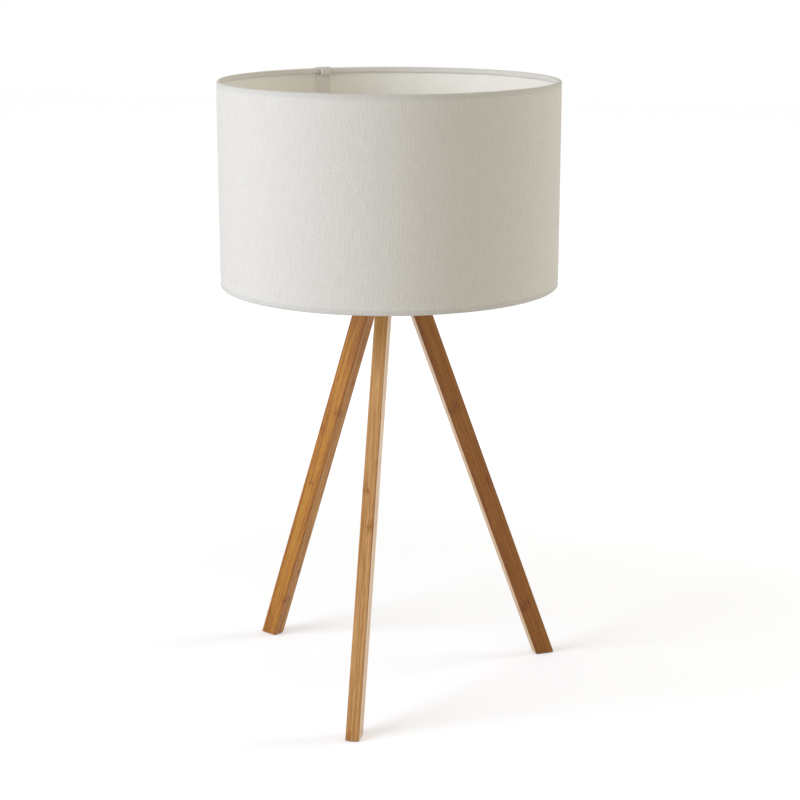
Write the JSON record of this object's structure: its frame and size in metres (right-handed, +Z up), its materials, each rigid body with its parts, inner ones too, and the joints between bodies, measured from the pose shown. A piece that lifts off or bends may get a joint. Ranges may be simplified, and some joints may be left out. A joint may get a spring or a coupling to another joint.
{
  "type": "tripod table lamp",
  "caption": "Table lamp with a white fabric drum shade on three splayed rectangular bamboo legs joined at a hub under a screw-base lampholder.",
  "frame": {"origin": "on the floor plane under the lamp's axis, at the centre of the circle through the three feet", "axes": "+Z up along the axis of shade and lampholder; -Y towards the front leg; +X to the right, the way the switch bar stands out at rest"},
  "size_m": [0.3, 0.3142, 0.55],
  "materials": {
    "shade_fabric": "off-white plain-weave fabric",
    "shade_liner": "satin cream",
    "wire": "white powder coat",
    "bamboo": "satin lacquered bamboo",
    "foot_pad": "matte",
    "cast_hub": "satin",
    "steel": "zinc plated",
    "plate_paint": "satin",
    "holder_plastic": "satin white",
    "insert_ceramic": "glazed ceramic look",
    "brass": "bare",
    "switch_plastic": "glossy white",
    "bulb_metal": "nickel plated",
    "bulb_insulator": "glossy black",
    "bulb_plastic": "satin white",
    "bulb_glass": "frosted opal"
  },
  "bodies": {
    "stand": {"leg_1": "bamboo", "leg_2": "bamboo", "leg_3": "bamboo", "foot_pad_1": "foot_pad", "foot_pad_2": "foot_pad", "foot_pad_3": "foot_pad", "leg_screws": "steel", "hub": "cast_hub", "cord_inlet_bush": "holder_plastic", "threaded_tube": "steel", "top_plate": "plate_paint", "lock_washer": "steel", "lock_nut": "steel", "holder_base": "holder_plastic", "holder_insert": "insert_ceramic", "terminal_screws": "brass", "holder_sleeve": "holder_plastic", "screw_shell": "brass", "centre_contact": "brass"},
    "shade": {"shade_fabric": "shade_fabric", "shade_liner": "shade_liner", "top_ring": "wire", "bottom_ring": "wire", "spoke_1": "wire", "spoke_2": "wire", "spoke_3": "wire", "fitter_ring": "wire"},
    "ring": {"retaining_ring": "holder_plastic"},
    "bulb": {"bulb_tip": "bulb_metal", "bulb_insulator": "bulb_insulator", "bulb_cap": "bulb_metal", "bulb_collar": "bulb_plastic", "bulb_globe": "bulb_glass"},
    "switch": {"switch_bar": "switch_plastic"}
  },
  "joints": [
    {"name": "shade_lift", "type": "slide", "parent": "stand", "child": "shade", "axis": [0, 0, 1], "range_m": [0, 0.19]},
    {"name": "ring_turn", "type": "hinge", "parent": "shade", "child": "ring", "pos_m": [0, 0, 0.4], "axis": [0, 0, 1], "continuous": true},
    {"name": "bulb_lift", "type": "slide", "parent": "stand", "child": "bulb", "axis": [0, 0, 1], "range_m": [0, 0.15]},
    {"name": "switch_push", "type": "slide", "parent": "stand", "child": "switch", "axis": [-1, 0, 0], "range_m": [0, 0.006]}
  ]
}
